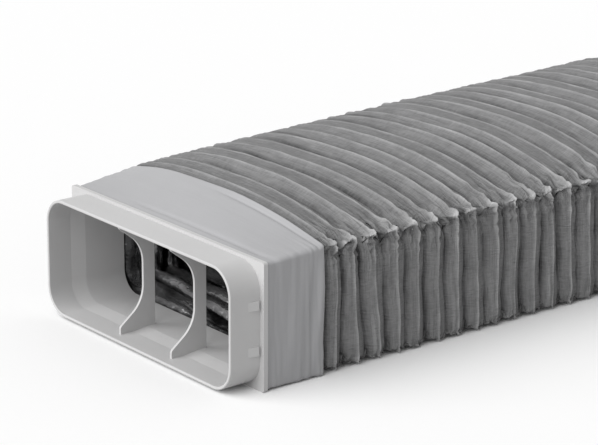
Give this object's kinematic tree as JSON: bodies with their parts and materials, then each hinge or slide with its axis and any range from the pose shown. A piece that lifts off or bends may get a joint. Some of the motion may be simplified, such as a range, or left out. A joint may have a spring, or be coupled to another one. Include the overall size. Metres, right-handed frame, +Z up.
{
  "type": "flexible flat duct",
  "caption": "Flexible flat ventilation duct: a pleated grey fabric hose on spring wire, with a moulded rectangular spigot connector taped into each end.",
  "frame": {"origin": "middle of the duct on the floor plane, under its centre line", "axes": "+Y along the duct from the front connector to the rear one, +X across its width, +Z up from the floor it lies on"},
  "size_m": [0.23, 0.7, 0.1173],
  "materials": {
    "connector_plastic": "fine satin, light grey",
    "hose_fabric": "coated plain weave, dark grey",
    "spring_wire": "bright drawn wire",
    "cuff_tape": "soft matt film, light grey"
  },
  "bodies": {
    "root": {"front_connector": "connector_plastic", "rear_connector": "connector_plastic", "hose": "hose_fabric", "wire_hoops": "spring_wire", "front_cuff": "cuff_tape", "rear_cuff": "cuff_tape"}
  },
  "joints": []
}
